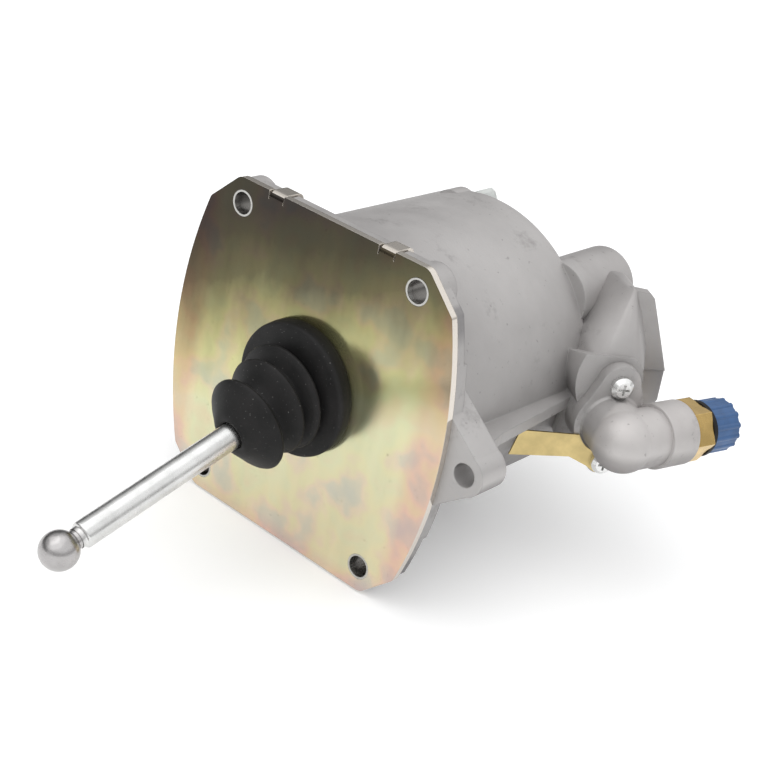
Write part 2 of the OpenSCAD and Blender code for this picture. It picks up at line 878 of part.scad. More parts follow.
module rod_retainer() {
    depth = swivel_y - hub_front - retainer_t;
    opening_r = sqrt(swivel_r ^ 2 - depth ^ 2) + facing_gap;
    color(steel)
        ring_y(retainer_r - press_fit, opening_r, hub_front, hub_front + retainer_t - press_fit);
}

module air_piston() {
    color(casting)
        difference() {
            turned([[0, hub_front], [hub_r, hub_front], [hub_r, web_front], [piston_r - 6, web_front],
                    [piston_r - 6, piston_front], [piston_r, piston_front],
                    [piston_r, seal_y], [piston_r - seal_depth, seal_y],
                    [piston_r - seal_depth, seal_y + seal_h], [piston_r, seal_y + seal_h],
                    [piston_r, guide_y], [piston_r - guide_depth, guide_y],
                    [piston_r - guide_depth, guide_y + guide_h], [piston_r, guide_y + guide_h],
                    [piston_r, piston_rear], [skirt_in_r, piston_rear], [skirt_in_r, web_rear],
                    [hub_r, web_rear], [hub_r, hub_rear], [0, hub_rear]]);
            translate([0, swivel_y, 0])
                sphere(r = swivel_r + run_fit);
            tube_y(swivel_r + run_fit, hub_front - 1, swivel_y);
            tube_y(retainer_r, hub_front - 1, hub_front + retainer_t);
            tube_y(spigot_r + press_fit, hub_rear - spigot_len, hub_rear + 1);
        }
}

// Lip seal: its heel fills the groove and its lip leans out to the bore
module piston_lip_seal() {
    inner = piston_r - seal_depth + press_fit;
    y0 = seal_y + facing_gap / 2;
    y1 = seal_y + seal_h - facing_gap / 2;
    color(rubber_black)
        turned([[inner, y0], [piston_r - 0.2, y0], [piston_r, y0 + 1.5], [bore_r - ring_fit, y1 - 0.8],
                [bore_r - ring_fit, y1], [bore_r - 1.4, y1], [bore_r - 3, y0 + 2.6],
                [inner + 1.2, y1], [inner, y1]]);
}

module piston_guide_ring() {
    color(plastic_cream)
        difference() {
            ring_y(bore_r - ring_fit, piston_r - guide_depth + press_fit,
                   guide_y + 0.1, guide_y + guide_h - 0.1);
            translate([-0.8, guide_y - 1, -bore_r - 1])
                cube([1.6, guide_h + 2, 6]);
        }
}

// Helical wire along +Y, swept as rings of points
module coil_spring(y0, y1, coil_r, wire_r, turns, ring_count, sides) {
    span = y1 - y0 - 2 * wire_r;
    points = [for (i = [0 : ring_count])
                for (k = [0 : sides - 1])
                    let (a = 360 * turns * i / ring_count,
                         s = 360 * k / sides,
                         r = coil_r + wire_r * cos(s))
                    [r * cos(a), y0 + wire_r + span * i / ring_count + wire_r * sin(s), r * sin(a)]];
    sides_faces = [for (i = [0 : ring_count - 1])
                    for (k = [0 : sides - 1])
                        let (n = (k + 1) % sides)
                        each [[i * sides + k, (i + 1) * sides + n, i * sides + n],
                              [i * sides + k, (i + 1) * sides + k, (i + 1) * sides + n]]];
    ends = [[for (k = [0 : sides - 1]) k],
            [for (k = [sides - 1 : -1 : 0]) ring_count * sides + k]];
    polyhedron(points = points, faces = concat(sides_faces, ends));
}

module preload_spring() {
    color(steel)
        coil_spring(web_rear + facing_gap, bore_depth - facing_gap, spring_coil_r, spring_wire_r,
                    spring_turns, round(spring_turns * 20), 8);
}

module hydraulic_plunger() {
    color(steel)
        turned([[0, hub_rear - spigot_len + 0.3], [spigot_r, hub_rear - spigot_len + 0.3],
                [spigot_r, hub_rear + press_fit], [plunger_r, hub_rear + press_fit],
                [plunger_r, plunger_end - 1], [plunger_r - 1, plunger_end], [0, plunger_end]]);
}

module plunger_seal() {
    y0 = plunger_seal_y;
    y1 = plunger_seal_y + plunger_seal_h;
    color(rubber_black)
        turned([[plunger_r + run_fit, y0], [gland_r - press_fit, y0], [gland_r - press_fit, y1],
                [gland_r - 1.2, y1], [(gland_r + plunger_r) / 2, y0 + 2.4], [plunger_r + 1.2, y1],
                [plunger_r + run_fit, y1]]);
}

module plunger_guide_bush() {
    color(brass)
        ring_y(gland_r - press_fit, plunger_r + run_fit, bush_y, bush_y + bush_h);
}

// Internal ring clip with two eyes at its gap
module ring_clip(r_out, r_in, y0, y1, eye_r) {
    difference() {
        union() {
            ring_y(r_out, r_in, y0, y1);
            for (side = [-1, 1])
                rotate([0, side * 16, 0])
                    translate([0, 0, r_in])
                        tube_y(eye_r, y0, y1);
        }
        for (side = [-1, 1])
            rotate([0, side * 16, 0])
                translate([0, 0, r_in])
                    tube_y(eye_r * 0.4, y0 - 1, y1 + 1);
        translate([-eye_r, y0 - 1, 0])
            cube([2 * eye_r, y1 - y0 + 2, r_out + 2]);
    }
}

module plunger_circlip() {
    color(steel)
        ring_clip(gland_r + 1, plunger_r + 2, circlip_y, circlip_y + circlip_t, 1.3);
}

module bleed_screw() {
    thread_r = bleed_r - run_fit;
    barb_z = bleed_tip - 7.5;
    color(bright_zinc)
        on_bleeder()
            difference() {
                union() {
                    translate([0, 0, bleed_seat + 0.5])
                        cylinder(r1 = bleed_r / 2, r2 = thread_r, h = 2);
                    translate([0, 0, bleed_seat + 2.5])
                        cylinder(r = thread_r, h = bleed_boss_end - bleed_seat - 2);
                    translate([0, 0, bleed_boss_end + facing_gap])
                        cylinder(r = bleed_hex_r, h = bleed_hex_end - bleed_boss_end - facing_gap, $fn = 6);
                    translate([0, 0, bleed_hex_end - 1])
                        cylinder(r = bleed_stem_r, h = bleed_tip - bleed_hex_end - 3);
                    translate([0, 0, barb_z])
                        cylinder(r1 = bleed_barb_r, r2 = bleed_barb_r - 1, h = 3);
                }
                translate([0, 0, bleed_boss_end - 4])
                    cylinder(r = bleed_bore_r, h = bleed_tip);
            }
}

module bleeder_cap() {
    tip_h = 2;
    top_t = 1.5;
    color([0.85, 0.86, 0.84])
        on_bleeder()
            difference() {
                union() {
                    translate([0, 0, cap_base])
                        cylinder(r = bleeder_cap_rim_r, h = 3);
                    translate([0, 0, cap_base])
                        cylinder(r = bleeder_cap_r, h = bleed_tip - cap_base - tip_h);
                    translate([0, 0, bleed_tip - tip_h - fine])
                        cylinder(r1 = bleeder_cap_r, r2 = bleeder_cap_r * 0.75, h = tip_h);
                }
                translate([0, 0, cap_base - 1])
                    cylinder(r = bleeder_cap_bore_r, h = bleed_tip - cap_base - top_t - 1);
            }
}

module control_piston() {
    groove = control_front + 4;
    color(steel)
        on_valve()
            turned([[0, control_front + 1], [control_r - 0.3, control_front + 1],
                    [control_r - 0.02, control_front + 1.4], [control_r - 0.02, groove],
                    [control_r - 1.9, groove], [control_r - 1.9, groove + 2.4],
                    [control_r - 0.02, groove + 2.4], [control_r - 0.02, control_front + control_len],
                    [control_stem_r, control_front + control_len],
                    [control_stem_r, control_stem_end], [0, control_stem_end]]);
}

module round_seal(middle_r, wire_r, y) {
    rotate([-90, 0, 0])
        rotate_extrude()
            translate([middle_r, y])
                circle(r = wire_r, $fn = 24);
}

module control_piston_seal() {
    color(rubber_black)
        on_valve()
            round_seal(control_r - 0.95, 0.93, control_front + 5.2);
}

module valve_seat() {
    color(brass)
        on_valve()
            turned([[seat_bore_r, seat_y], [chamber_r - press_fit, seat_y],
                    [chamber_r - press_fit, poppet_y - 0.8], [seat_bore_r + 1.2, poppet_y - 0.8],
                    [seat_bore_r + 0.6, poppet_y - press_fit], [seat_bore_r, poppet_y - press_fit]]);
}

module valve_poppet() {
    color(rubber_black)
        on_valve()
            turned([[0, poppet_y], [poppet_r, poppet_y], [poppet_r, poppet_y + poppet_t - 1],
                    [poppet_r - 1, poppet_y + poppet_t], [control_stem_r, poppet_y + poppet_t],
                    [control_stem_r, poppet_stem_end], [0, poppet_stem_end]]);
}

module valve_spring() {
    color(steel)
        on_valve()
            coil_spring(poppet_y + poppet_t + 0.1, plug_y - 0.1, 4.6, 0.55, 3.5, 56, 8);
}

// End plug of the valve chamber, with the guide bore of the poppet's stem
module valve_end_plug() {
    groove = plug_y + 2;
    plug_r = chamber_r - press_fit;
    color(casting)
        on_valve()
            difference() {
                turned([[0, plug_y], [plug_r, plug_y], [plug_r, groove],
                        [plug_r - 2 * plug_seal_r, groove], [plug_r - 2 * plug_seal_r, groove + 2.6],
                        [plug_r, groove + 2.6], [plug_r, plug_y + plug_h], [0, plug_y + plug_h]]);
                tube_y(plug_bore_r, plug_y - 1, poppet_stem_end + control_travel);
                tube_y(4, plug_y + plug_h - 0.8, plug_y + plug_h + 1);
            }
}

module valve_plug_seal() {
    color(rubber_black)
        on_valve()
            round_seal(chamber_r - plug_seal_r - 0.02, plug_seal_r - 0.05, plug_y + 3.3);
}

module valve_circlip() {
    color(steel)
        on_valve()
            ring_clip(chamber_r + 0.85, chamber_r - 1.5, valve_clip_y, valve_clip_y + valve_clip_t, 1.1);
}

// Rubber flap that lets used air out and keeps dirt from coming in
module exhaust_flap() {
    color(rubber_black)
        on_exhaust() {
            translate([0, 0, -5])
                cylinder(r = 1.5 - press_fit, h = 6);
            translate([0, 0, -6.5])
                cylinder(r = 2.6, h = 2.4);
            translate([0, 0, press_fit])
                cylinder(r = exhaust_r - 2, h = 1.2);
        }
}

module exhaust_shield() {
    shield_h = 7;
    color([0.12, 0.12, 0.13])
        on_exhaust()
            difference() {
                rotate_extrude()
                    polygon([[0, press_fit], [exhaust_r, press_fit], [exhaust_r, shield_h - 2],
                             [exhaust_r - 2, shield_h], [0, shield_h]]);
                translate([0, 0, -1])
                    cylinder(r = exhaust_r - 1.6, h = shield_h - 0.6);
                for (i = [0 : 7])
                    rotate([0, 0, (i + 0.5) * 45])
                        translate([0, -1, 2.2])
                            cube([exhaust_r + 2, 2, 2.3]);
            }
}

module air_elbow() {
    bore = connector_r + press_fit;
    color(casting)
        difference() {
            union() {
                on_pad() {
                    translate([0, 0, pad_front])
                        linear_extrude(height = elbow_flange_t)
                            flange_shape();
                    cylinder(r1 = collar_r, r2 = neck_r - 0.3, h = 1.6);
                    cylinder(r = neck_r, h = corner_z);
                }
                on_outlet() {
                    sphere(r = neck_r + 0.3);
                    cylinder(r = neck_r - 0.2, h = outlet_start + 1);
                    translate([0, 0, outlet_start])
                        cylinder(r = outlet_r, h = outlet_end - outlet_start);
                }
            }
            on_pad() {
                translate([0, 0, pad_front - 1])
                    cylinder(r = passage_r, h = corner_z - pad_front + 1);
                for (z = [-1, 1])
                    translate([0, z * elbow_screw_z, pad_front - 1])
                        cylinder(r = elbow_screw_r + 0.3, h = elbow_flange_t + 2);
                // Flat spot faces under the two screw heads
                translate([0, elbow_screw_z, 0])
                    cylinder(r = head_r + 0.7, h = head_h + 1);
                translate([0, -elbow_screw_z, 0])
                    cylinder(r = head_r + 0.7, h = head_h + 2);
            }
            on_outlet() {
                sphere(r = passage_r + 0.3);
                cylinder(r = passage_r - 0.2, h = outlet_end);
                translate([0, 0, connector_start])
                    cylinder(r = bore, h = outlet_end);
            }
        }
}

module elbow_seal() {
    color(rubber_black)
        on_pad()
            translate([0, 0, pad_front - elbow_seal_wire + 0.1])
                rotate_extrude()
                    translate([elbow_seal_r, 0])
                        circle(r = elbow_seal_wire - 0.12, $fn = 24);
}

module pan_screw(length) {
    difference() {
        union() {
            cylinder(r = head_r, h = head_h * 0.55);
            translate([0, 0, head_h * 0.55])
                cylinder(r1 = head_r, r2 = head_r - 1.5, h = head_h * 0.45);
            translate([0, 0, -length])
                cylinder(r = elbow_screw_r - run_fit, h = length + 1);
        }
        for (turn = [0, 90])
            rotate([0, 0, turn])
                translate([-2.3, -0.45, head_h - 1.6])
                    cube([4.6, 0.9, 3]);
    }
}

module elbow_screws() {
    color(bright_zinc)
        on_pad() {
            translate([0, elbow_screw_z, press_fit])
                pan_screw(elbow_flange_t + elbow_screw_depth - 2);
            translate([0, -elbow_screw_z, strip_t + 2 * press_fit])
                pan_screw(elbow_flange_t + elbow_screw_depth - 2);
        }
}

module air_connector() {
    color(brass)
        on_outlet()
            difference() {
                union() {
                    translate([0, 0, connector_start + 1])
                        cylinder(r = connector_r, h = hex_start - connector_start);
                    translate([0, 0, hex_start])
                        cylinder(r = hex_af / sqrt(3), h = hex_len, $fn = 6);
                    translate([0, 0, hex_end - fine])
                        cylinder(r = nipple_r, h = nipple_end - hex_end);
                }
                translate([0, 0, connector_start])
                    cylinder(r = air_bore_r, h = nipple_end);
            }
}

module connector_seal() {
    color(rubber_black)
        on_outlet()
            translate([0, 0, hex_end + press_fit])
                difference() {
                    cylinder(r = cap_r * 1.05, h = seal_ring_t);
                    translate([0, 0, -1])
                        cylinder(r = nipple_r + run_fit, h = seal_ring_t + 2);
                }
}

// Protective cap with a ring of grip ribs and a rounded end
module port_cap() {
    color(cap_blue)
        on_outlet()
            translate([0, 0, cap_start])
                difference() {
                    union() {
                        cylinder(r = cap_r - 0.5, h = cap_len - 2.5);
                        translate([0, 0, cap_len - 2.51])
                            cylinder(r1 = cap_r - 0.5, r2 = cap_r - 3, h = 2.51);
                        for (i = [0 : cap_ribs - 1])
                            rotate([0, 0, i * 360 / cap_ribs])
                                translate([cap_r - 1.4, 0, 0])
                                    cylinder(r = 1.4, h = cap_len - 2.2, $fn = 24);
                    }
                    translate([0, 0, -1])
                        cylinder(r = nipple_r + facing_gap, h = cap_len - cap_wall);
                }
}

// Bare metal strip, clamped under the lower elbow screw
module tag_strip() {
    eye = [for (i = [0 : 12])
            let (a = 60 - i * 14)
            [strip_eye_r * cos(a), strip_eye_r * sin(a) - elbow_screw_z]];
    color(strip_yellow)
        on_pad()
            translate([0, 0, press_fit])
                linear_extrude(height = strip_t)
                    difference() {
                        polygon(concat([[strip_end - 2.5, strip_low],
                                        [strip_end, strip_top],
                                        [-3, strip_top - 0.6]],
                                       eye,
                                       [[-6, -elbow_screw_z - 2.4], [-14, strip_low + 0.6]]));
                        circle(r = collar_r + facing_gap);
                        translate([0, -elbow_screw_z])
                            circle(r = elbow_screw_r + 0.3);
                    }
}

// Plug that closes the outer end of the cross drilling
module passage_plug() {
    angle = atan2(valve_z, valve_x);
    color(bright_zinc)
        rotate([0, -angle, 0])
            translate([-shell_r + 1, control_front + 1.5, 0])
                rotate([0, 90, 0])
                    cylinder(r = cross_r - press_fit, h = 5);
}

cylinder_housing();
front_plate();
locating_sleeves();
rubber_boot();
push_rod();
rod_retainer();
air_piston();
piston_lip_seal();
piston_guide_ring();
preload_spring();
hydraulic_plunger();
plunger_seal();
plunger_guide_bush();
plunger_circlip();
bleed_screw();
bleeder_cap();
control_piston();
control_piston_seal();
valve_seat();
valve_poppet();
valve_spring();
valve_end_plug();
valve_plug_seal();
valve_circlip();
exhaust_flap();
exhaust_shield();
air_elbow();
elbow_seal();
elbow_screws();
air_connector();
connector_seal();
port_cap();
tag_strip();
passage_plug();
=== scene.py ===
# Looks of the clutch servo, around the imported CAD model
import json
import math

import bmesh
import bpy
import numpy as np
from mathutils import Matrix, Vector


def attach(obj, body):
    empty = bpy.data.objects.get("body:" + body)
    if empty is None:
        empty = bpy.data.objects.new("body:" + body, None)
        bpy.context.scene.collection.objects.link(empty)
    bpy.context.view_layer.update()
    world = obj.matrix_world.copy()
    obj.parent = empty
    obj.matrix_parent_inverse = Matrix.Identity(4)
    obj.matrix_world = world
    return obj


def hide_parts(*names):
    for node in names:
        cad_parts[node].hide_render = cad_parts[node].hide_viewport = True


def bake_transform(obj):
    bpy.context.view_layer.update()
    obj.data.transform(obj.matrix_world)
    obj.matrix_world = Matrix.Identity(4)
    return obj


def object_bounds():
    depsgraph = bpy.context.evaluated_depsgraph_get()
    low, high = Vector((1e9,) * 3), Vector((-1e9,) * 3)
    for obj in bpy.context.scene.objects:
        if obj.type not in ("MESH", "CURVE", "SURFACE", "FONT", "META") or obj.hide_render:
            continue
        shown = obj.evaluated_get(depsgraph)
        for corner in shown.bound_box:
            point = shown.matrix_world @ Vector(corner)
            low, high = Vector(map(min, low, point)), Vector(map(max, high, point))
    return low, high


MM = 0.001

# Camera, from the photograph: place, direction, roll and lens
CAMERA_PLACE = (0.3227, -0.4009, 0.2579)
CAMERA_LOOK = (-0.5206, 0.7329, -0.4381)
CAMERA_ROLL = 11.963
CAMERA_LENS = 71.74
SENSOR = 36.0

# The push rod's swivel, in metres, and how far the rod hangs
SWIVEL_Y = 0.006
DROOP = math.radians(16.2)

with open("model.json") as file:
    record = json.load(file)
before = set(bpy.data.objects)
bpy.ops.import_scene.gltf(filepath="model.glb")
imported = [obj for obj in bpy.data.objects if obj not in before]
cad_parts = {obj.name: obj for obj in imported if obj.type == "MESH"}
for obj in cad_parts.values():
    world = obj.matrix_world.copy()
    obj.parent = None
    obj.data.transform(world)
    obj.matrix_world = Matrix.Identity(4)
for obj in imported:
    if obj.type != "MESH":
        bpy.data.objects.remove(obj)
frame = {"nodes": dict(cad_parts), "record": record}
cad_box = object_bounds()
nodes = frame["nodes"]


# Materials


def new_material(name):
    material = bpy.data.materials.new(name)
    material.use_nodes = True
    tree = material.node_tree
    shader = tree.nodes["Principled BSDF"]
    return material, tree, shader


def add(tree, kind, **inputs):
    made = tree.nodes.new(kind)
    for key, value in inputs.items():
        made.inputs[key.replace("_", " ")].default_value = value
    return made


def noise(tree, scale, detail=2.0, roughness=0.5, stretch=(1.0, 1.0, 1.0)):
    """Noise over the object's own space, in noise cells per metre."""
    place = tree.nodes.new("ShaderNodeTexCoord")
    mapping = tree.nodes.new("ShaderNodeMapping")
    mapping.inputs["Scale"].default_value = stretch
    tree.links.new(place.outputs["Object"], mapping.inputs["Vector"])
    made = add(tree, "ShaderNodeTexNoise", Scale=scale, Detail=detail, Roughness=roughness)
    tree.links.new(mapping.outputs["Vector"], made.inputs["Vector"])
    return made.outputs["Fac"]


def ramp(tree, factor, stops):
    """Colour ramp with stops of (place, colour)."""
    made = tree.nodes.new("ShaderNodeValToRGB")
    elements = made.color_ramp.elements
    while len(elements) < len(stops):
        elements.new(0.5)
    for element, (place, colour) in zip(elements, stops):
        element.position = place
        element.color = (*colour, 1.0)
    tree.links.new(factor, made.inputs["Fac"])
    return made.outputs["Color"]


def mix(tree, factor, a, b, blend="MIX"):
    """Mix of two colours; each may be a socket or a colour, and the factor a socket or a number."""
    made = tree.nodes.new("ShaderNodeMix")
    made.data_type = "RGBA"
    made.blend_type = blend
    sockets = {"Factor_Float": factor, "A_Color": a, "B_Color": b}
    for socket in made.inputs:
        value = sockets.get(socket.identifier)
        if value is None:
            continue
        if isinstance(value, bpy.types.NodeSocket):
            tree.links.new(value, socket)
        elif isinstance(value, float):
            socket.default_value = value
        else:
            socket.default_value = (*value, 1.0)
    return [s for s in made.outputs if s.identifier == "Result_Color"][0]


def surface(tree, shader, height=None, strength=0.2, distance=0.0003, edge=0.0):
    """Rounded edges and a bumpy surface, into the shader's normal."""
    normal = None
    if edge > 0:
        bevel = tree.nodes.new("ShaderNodeBevel")
        bevel.samples = 6
        bevel.inputs["Radius"].default_value = edge
        normal = bevel.outputs["Normal"]
    if height is not None:
        bump = add(tree, "ShaderNodeBump", Strength=strength, Distance=distance)
        tree.links.new(height, bump.inputs["Height"])
        if normal is not None:
            tree.links.new(normal, bump.inputs["Normal"])
        normal = bump.outputs["Normal"]
    if normal is not None:
        tree.links.new(normal, shader.inputs["Normal"])


def object_axis(tree, output, axis):
    """One component of the object's own place or normal."""
    place = tree.nodes.new("ShaderNodeTexCoord")
    split = tree.nodes.new("ShaderNodeSeparateXYZ")
    tree.links.new(place.outputs[output], split.inputs["Vector"])
    return split.outputs[axis]


def maths(tree, operation, a, b=0.0, c=0.0):
    made = tree.nodes.new("ShaderNodeMath")
    made.operation = operation
    for socket, value in zip(made.inputs, (a, b, c)):
        if isinstance(value, bpy.types.NodeSocket):
            tree.links.new(value, socket)
        else:
            socket.default_value = value
    return made.outputs[0]


def spread(tree, value, low, high):
    """Brings a socket's range from low to high to 0 to 1."""
    made = tree.nodes.new("ShaderNodeMapRange")
    made.inputs["From Min"].default_value = low
    made.inputs["From Max"].default_value = high
    tree.links.new(value, made.inputs["Value"])
    return made.outputs["Result"]


# Stretches of the casting that its colour follows, in metres: from the
# cylinder to the rear wall, from the housing to the elbow, across the
# flange's rim where shade is painted, and through the flange
REAR_Y = (0.090, 0.120)
ELBOW_X = (0.080, 0.090)
RIM_SHADE_X = (0.050, 0.070)
FLANGE_Y = (0.0, 0.02)
CAST_EDGE = 0.0009


def cast_aluminium():
    material, tree, shader = new_material("cast_aluminium")
    broad = ramp(tree, noise(tree, 22, 4, 0.6), [(0.3, (0.54, 0.522, 0.514)), (0.7, (0.66, 0.642, 0.632))])
    smudge = ramp(tree, noise(tree, 48, 6, 0.75), [(0.58, (1, 1, 1)), (0.72, (0.62, 0.61, 0.61))])
    fleck = ramp(tree, noise(tree, 420, 3, 0.6), [(0.26, (0.55, 0.54, 0.54)), (0.33, (1, 1, 1))])
    skin = mix(tree, 0.7, mix(tree, 0.75, broad, smudge, "MULTIPLY"), fleck, "MULTIPLY")
    # Painted shade: darker the more a surface faces down, lighter where it faces up
    painted_underside_shade = ramp(tree, spread(tree, object_axis(tree, "Normal", "Z"), -1.0, 1.0), [
        (0.1, (0.38, 0.37, 0.37)), (0.35, (0.58, 0.575, 0.575)), (0.5, (0.83, 0.83, 0.83)),
        (0.8, (0.86, 0.855, 0.855))])
    skin = mix(tree, 1.0, skin, painted_underside_shade, "MULTIPLY")
    # The rear of the casting is darker than its cylinder, and the elbow brighter
    rear = ramp(tree, spread(tree, object_axis(tree, "Object", "Y"), *REAR_Y), [
        (0.3, (0.83, 0.83, 0.83)), (0.7, (0.78, 0.775, 0.775))])
    elbow = ramp(tree, spread(tree, object_axis(tree, "Object", "X"), *ELBOW_X), [
        (0.4, (0, 0, 0)), (0.6, (1, 1, 1))])
    skin = mix(tree, 1.0, skin, mix(tree, elbow, rear, (1.0, 0.99, 0.985)), "MULTIPLY")
    # Painted shade on the flange's rim beside the plate: a darker band where its cast side lies in shade
    rim = ramp(tree, spread(tree, object_axis(tree, "Object", "X"), *RIM_SHADE_X), [
        (0.28, (1, 1, 1)), (0.35, (0.66, 0.66, 0.67)), (0.52, (0.66, 0.66, 0.67)), (0.60, (1, 1, 1))])
    band = ramp(tree, spread(tree, object_axis(tree, "Object", "Y"), *FLANGE_Y), [
        (0.55, (1, 1, 1)), (0.62, (0, 0, 0))])
    skin = mix(tree, band, skin, mix(tree, 1.0, skin, rim, "MULTIPLY"))
    tree.links.new(skin, shader.inputs["Base Color"])
    shader.inputs["Metallic"].default_value = 0.45
    rough = ramp(tree, noise(tree, 90, 3), [(0.3, (0.44, 0.44, 0.44)), (0.7, (0.60, 0.60, 0.60))])
    tree.links.new(rough, shader.inputs["Roughness"])
    shader.inputs["Specular IOR Level"].default_value = 0.35
    surface(tree, shader, noise(tree, 900, 3, 0.6), 0.35, 0.00025, CAST_EDGE)
    return material


# How far the plate's painted reflection tilts, dark above and pale below, the
# heights between which its colours run, and how far they wander; then the
# plate's half width and half height, in metres
PAINTED_REFLECTION_TILT = -0.36
PLATE_HEIGHTS = (-0.070, 0.070)
PLATE_WANDER = 0.34
PLATE_SIDE = 0.0595
PLATE_TOP = 0.0668
CUT_EDGE = (0.68, 0.63, 0.57)


def yellow_zinc():
    """Iridescent plating, blotchy below, under a painted reflection that runs from nearly black on top to pale
    below.
    """
    material, tree, shader = new_material("yellow_zinc")
    side = object_axis(tree, "Object", "X")
    height = object_axis(tree, "Object", "Z")
    tilted = maths(tree, "MULTIPLY_ADD", side, PAINTED_REFLECTION_TILT, height)
    patches = noise(tree, 20, 5, 0.6, (1.0, 1.0, 0.5))
    wander = maths(tree, "MULTIPLY_ADD", patches, PLATE_WANDER, -PLATE_WANDER / 2)
    total = maths(tree, "ADD", spread(tree, tilted, *PLATE_HEIGHTS), wander)
    # Painted reflection over the plating's colour: nearly black where dark surroundings are mirrored on top,
    # pale where the bright floor is mirrored below
    plating_with_painted_reflection = ramp(tree, total, [
        (0.0, (0.74, 0.66, 0.48)), (0.20, (0.73, 0.67, 0.48)), (0.42, (0.71, 0.68, 0.47)),
        (0.55, (0.60, 0.57, 0.32)), (0.66, (0.36, 0.33, 0.17)), (0.78, (0.13, 0.115, 0.065)),
        (0.90, (0.065, 0.056, 0.036)), (1.0, (0.045, 0.038, 0.030))])
    blotch = ramp(tree, noise(tree, 40, 3, 0.5), [
        (0.32, (0.80, 0.84, 1.0)), (0.40, (0.88, 0.88, 0.98)), (0.44, (1.0, 0.91, 0.96)),
        (0.50, (1.0, 1.0, 0.90)), (0.58, (0.95, 1.0, 0.94)), (0.68, (1.0, 0.93, 0.90))])
    streak = ramp(tree, noise(tree, 70, 3, 0.55, (1.0, 1.0, 0.15)), [
        (0.35, (0.90, 0.92, 0.90)), (0.65, (1.0, 1.0, 1.0))])
    fleck = ramp(tree, noise(tree, 520, 3, 0.6), [(0.28, (0.60, 0.58, 0.55)), (0.36, (1, 1, 1))])
    face = mix(tree, 0.9, mix(tree, 1.0, plating_with_painted_reflection, blotch, "MULTIPLY"), streak, "MULTIPLY")
    face = mix(tree, 0.6, face, fleck, "MULTIPLY")
    rim = ramp(tree, maths(tree, "MULTIPLY", maths(tree, "ABSOLUTE", side), 1 / PLATE_SIDE), [
        (0.86, (1, 1, 1)), (0.97, (1.0, 0.82, 0.88))])
    face = mix(tree, 1.0, face, rim, "MULTIPLY")
    foot = ramp(tree, spread(tree, height, -PLATE_TOP, 0.0), [(0.02, (1.0, 0.86, 0.94)), (0.10, (1, 1, 1))])
    face = mix(tree, 1.0, face, foot, "MULTIPLY")
    facing = maths(tree, "ABSOLUTE", object_axis(tree, "Normal", "Y"))
    edge = ramp(tree, facing, [(0.55, (1, 1, 1)), (0.75, (0, 0, 0))])
    tree.links.new(mix(tree, edge, face, CUT_EDGE), shader.inputs["Base Color"])
    shader.inputs["Metallic"].default_value = 0.85
    rough = ramp(tree, noise(tree, 40, 3), [(0.3, (0.12, 0.12, 0.12)), (0.7, (0.22, 0.22, 0.22))])
    tree.links.new(rough, shader.inputs["Roughness"])
    surface(tree, shader, noise(tree, 260, 3, 0.6), 0.06, 0.0002, 0.0004)
    return material


# Depth of the sleeves in the mounting holes, which get painted shade, and where
# the rod's front ball starts, which gets a painted dark reflection, in metres
SLEEVE_Y = (-0.002, 0.048)
BALL_Y = (-0.105, -0.100)


def bright_zinc():
    """Bright plating, with painted shade down in the mounting holes' sleeves and a painted dark reflection on
    the rod's front ball.
    """
    material, tree, shader = new_material("bright_zinc")
    tone = ramp(tree, noise(tree, 120, 3, 0.6), [(0.35, (0.72, 0.72, 0.71)), (0.65, (0.84, 0.84, 0.83))])
    depth = spread(tree, object_axis(tree, "Object", "Y"), *SLEEVE_Y)
    # Painted shade down in the sleeves: bright lips, then dark deeper in
    painted_sleeve_shade = ramp(tree, depth, [
        (0.02, (0.85, 0.85, 0.85)), (0.03, (0.58, 0.57, 0.55)), (0.05, (0.64, 0.63, 0.61)),
        (0.09, (0.22, 0.21, 0.20)), (0.5, (0.22, 0.21, 0.20)), (0.6, (1, 1, 1))])
    # Painted reflection: the rod's front ball is darkened, standing in for the dark surroundings it mirrors
    painted_ball_reflection = ramp(tree, spread(tree, object_axis(tree, "Object", "Y"), *BALL_Y), [
        (0.3, (0.66, 0.64, 0.645)), (0.7, (1, 1, 1))])
    tone = mix(tree, 1.0, mix(tree, 1.0, tone, painted_sleeve_shade, "MULTIPLY"), painted_ball_reflection, "MULTIPLY")
    tree.links.new(tone, shader.inputs["Base Color"])
    shader.inputs["Metallic"].default_value = 1.0
    rough = ramp(tree, noise(tree, 300, 3, 0.6), [(0.3, (0.20, 0.20, 0.20)), (0.7, (0.32, 0.32, 0.32))])
    tree.links.new(rough, shader.inputs["Roughness"])
    surface(tree, shader, noise(tree, 700, 2, 0.5), 0.06, 0.0002, 0.0003)
    return material


def plain_metal(name, colour, roughness, edge=0.0003, wear=0.0):
    material, tree, shader = new_material(name)
    darker = tuple(c * (1 - wear) for c in colour)
    tone = ramp(tree, noise(tree, 120, 3, 0.6), [(0.35, darker), (0.65, colour)])
    tree.links.new(tone, shader.inputs["Base Color"])
    shader.inputs["Metallic"].default_value = 1.0
    shader.inputs["Roughness"].default_value = roughness
    surface(tree, shader, noise(tree, 700, 2, 0.5), 0.06, 0.0002, edge)
    return material


def plain_plastic(name, colour, roughness, wear=0.15):
    material, tree, shader = new_material(name)
    darker = tuple(c * (1 - wear) for c in colour)
    tone = ramp(tree, noise(tree, 150, 4, 0.6), [(0.35, darker), (0.65, colour)])
    tree.links.new(tone, shader.inputs["Base Color"])
    shader.inputs["Roughness"].default_value = roughness
    surface(tree, shader, noise(tree, 1200, 3, 0.6), 0.1, 0.0002, 0.0003)
    return material


